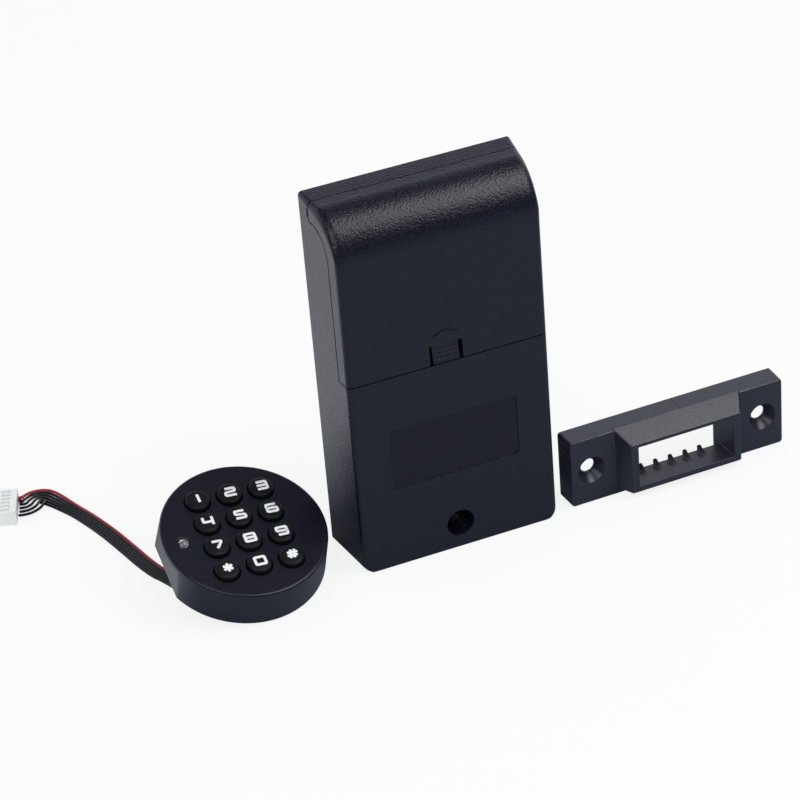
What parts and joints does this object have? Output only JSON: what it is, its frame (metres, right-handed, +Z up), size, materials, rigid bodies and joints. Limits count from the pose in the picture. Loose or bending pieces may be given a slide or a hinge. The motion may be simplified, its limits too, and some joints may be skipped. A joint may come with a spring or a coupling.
{
  "type": "electronic cabinet lock",
  "caption": "Electronic cabinet lock: upright lock body with battery bay and motor bolt, round keypad on a ribbon cable with white connector, and strike plate",
  "frame": {"origin": "middle of the lock body's lower end, on the surface that the set stands on", "axes": "+X runs from the lock body to the strike, the way the bolt slides out; the front of the lock body faces -Y; +Z is up"},
  "size_m": [0.2297, 0.1019, 0.117],
  "materials": {
    "shell_plastic": "fine matte grain, near black with a cool tint",
    "keypad_plastic": "satin moulded plastic, near black",
    "strike_plastic": "satin moulded plastic, slate grey",
    "inner_plastic": "plain moulded plastic",
    "key_rubber": "soft black rubber with white printed signs",
    "steel": "zinc plated",
    "brass": "turned brass",
    "cell_wrap": "plain shrink wrap with bare ends",
    "circuit_board": "green solder mask",
    "chip_black": "moulded package",
    "connector_white": "off-white moulded plastic",
    "lens_clear": "clear moulded lens",
    "wire_insulation": "five black wires and one red one"
  },
  "bodies": {
    "root": {"housing": "shell_plastic", "back_plate": "inner_plastic", "battery_tray": "inner_plastic", "battery_1": "cell_wrap", "battery_2": "cell_wrap", "battery_3": "cell_wrap", "battery_4": "cell_wrap", "contact_spring_1": "steel", "contact_spring_2": "steel", "contact_spring_3": "steel", "contact_spring_4": "steel", "contact_lower_end_1": "steel", "contact_lower_bridge": "steel", "contact_lower_end_2": "steel", "contact_upper_bridge_1": "steel", "contact_upper_bridge_2": "steel", "bolt_frame": "steel", "frame_screw_1": "steel", "frame_screw_2": "steel", "motor": "steel", "circuit_board": "circuit_board", "ribbon_socket": "connector_white", "buzzer": "chip_black", "control_chip": "chip_black", "back_screw_1": "steel", "back_screw_2": "steel", "back_screw_3": "steel", "back_screw_4": "steel", "keypad_housing": "keypad_plastic", "keypad_back_plate": "inner_plastic", "key_mat": "key_rubber", "keypad_board": "circuit_board", "status_led": "lens_clear", "post_insert_1": "brass", "post_insert_2": "brass", "keypad_screw_1": "steel", "keypad_screw_2": "steel", "keypad_screw_3": "steel", "ribbon_cable": "wire_insulation", "ribbon_connector": "connector_white", "strike_plate": "strike_plastic"},
    "cover": {"battery_cover": "shell_plastic", "latch_spring": "steel"},
    "latch": {"cover_latch": "shell_plastic"},
    "bolt": {"bolt": "steel", "drive_pin": "steel"},
    "drive": {"motor_shaft": "steel", "drive_spring": "steel"},
    "key_1_body": {"key_1": "key_rubber"},
    "key_2_body": {"key_2": "key_rubber"},
    "key_3_body": {"key_3": "key_rubber"},
    "key_4_body": {"key_4": "key_rubber"},
    "key_5_body": {"key_5": "key_rubber"},
    "key_6_body": {"key_6": "key_rubber"},
    "key_7_body": {"key_7": "key_rubber"},
    "key_8_body": {"key_8": "key_rubber"},
    "key_9_body": {"key_9": "key_rubber"},
    "key_0_body": {"key_0": "key_rubber"},
    "key_star_body": {"key_star": "key_rubber"},
    "key_hash_body": {"key_hash": "key_rubber"}
  },
  "joints": [
    {"name": "cover_hinge", "type": "hinge", "parent": "root", "child": "cover", "pos_m": [0, 0.00525, 0.1163], "axis": [-1, 0, 0], "range_deg": [0, 65]},
    {"name": "latch_slide", "type": "slide", "parent": "cover", "child": "latch", "axis": [0, 0, 1], "range_m": [0, 0.0016], "stiffness_N_per_m": 150, "springref_m": -0.002, "deforming": ["latch_spring"]},
    {"name": "bolt_slide", "type": "slide", "parent": "root", "child": "bolt", "axis": [1, 0, 0], "range_m": [0, 0.009]},
    {"name": "drive_spin", "type": "hinge", "parent": "root", "child": "drive", "pos_m": [0, -0.002, 0.037], "axis": [1, 0, 0], "range_deg": [-1620, 0]},
    {"name": "key_1_press", "type": "slide", "parent": "root", "child": "key_1_body", "axis": [-0.0748, 0.3268, -0.9421], "range_m": [0, 0.001], "stiffness_N_per_m": 400, "springref_m": -0.0004},
    {"name": "key_2_press", "type": "slide", "parent": "root", "child": "key_2_body", "axis": [-0.0748, 0.3268, -0.9421], "range_m": [0, 0.001], "stiffness_N_per_m": 400, "springref_m": -0.0004},
    {"name": "key_3_press", "type": "slide", "parent": "root", "child": "key_3_body", "axis": [-0.0748, 0.3268, -0.9421], "range_m": [0, 0.001], "stiffness_N_per_m": 400, "springref_m": -0.0004},
    {"name": "key_4_press", "type": "slide", "parent": "root", "child": "key_4_body", "axis": [-0.0748, 0.3268, -0.9421], "range_m": [0, 0.001], "stiffness_N_per_m": 400, "springref_m": -0.0004},
    {"name": "key_5_press", "type": "slide", "parent": "root", "child": "key_5_body", "axis": [-0.0748, 0.3268, -0.9421], "range_m": [0, 0.001], "stiffness_N_per_m": 400, "springref_m": -0.0004},
    {"name": "key_6_press", "type": "slide", "parent": "root", "child": "key_6_body", "axis": [-0.0748, 0.3268, -0.9421], "range_m": [0, 0.001], "stiffness_N_per_m": 400, "springref_m": -0.0004},
    {"name": "key_7_press", "type": "slide", "parent": "root", "child": "key_7_body", "axis": [-0.0748, 0.3268, -0.9421], "range_m": [0, 0.001], "stiffness_N_per_m": 400, "springref_m": -0.0004},
    {"name": "key_8_press", "type": "slide", "parent": "root", "child": "key_8_body", "axis": [-0.0748, 0.3268, -0.9421], "range_m": [0, 0.001], "stiffness_N_per_m": 400, "springref_m": -0.0004},
    {"name": "key_9_press", "type": "slide", "parent": "root", "child": "key_9_body", "axis": [-0.0748, 0.3268, -0.9421], "range_m": [0, 0.001], "stiffness_N_per_m": 400, "springref_m": -0.0004},
    {"name": "key_0_press", "type": "slide", "parent": "root", "child": "key_0_body", "axis": [-0.0748, 0.3268, -0.9421], "range_m": [0, 0.001], "stiffness_N_per_m": 400, "springref_m": -0.0004},
    {"name": "key_star_press", "type": "slide", "parent": "root", "child": "key_star_body", "axis": [-0.0748, 0.3268, -0.9421], "range_m": [0, 0.001], "stiffness_N_per_m": 400, "springref_m": -0.0004},
    {"name": "key_hash_press", "type": "slide", "parent": "root", "child": "key_hash_body", "axis": [-0.0748, 0.3268, -0.9421], "range_m": [0, 0.001], "stiffness_N_per_m": 400, "springref_m": -0.0004}
  ],
  "couplings": [
    {"joint": "drive_spin", "follows": "bolt_slide", "rad_per_m": -3141.6}
  ]
}
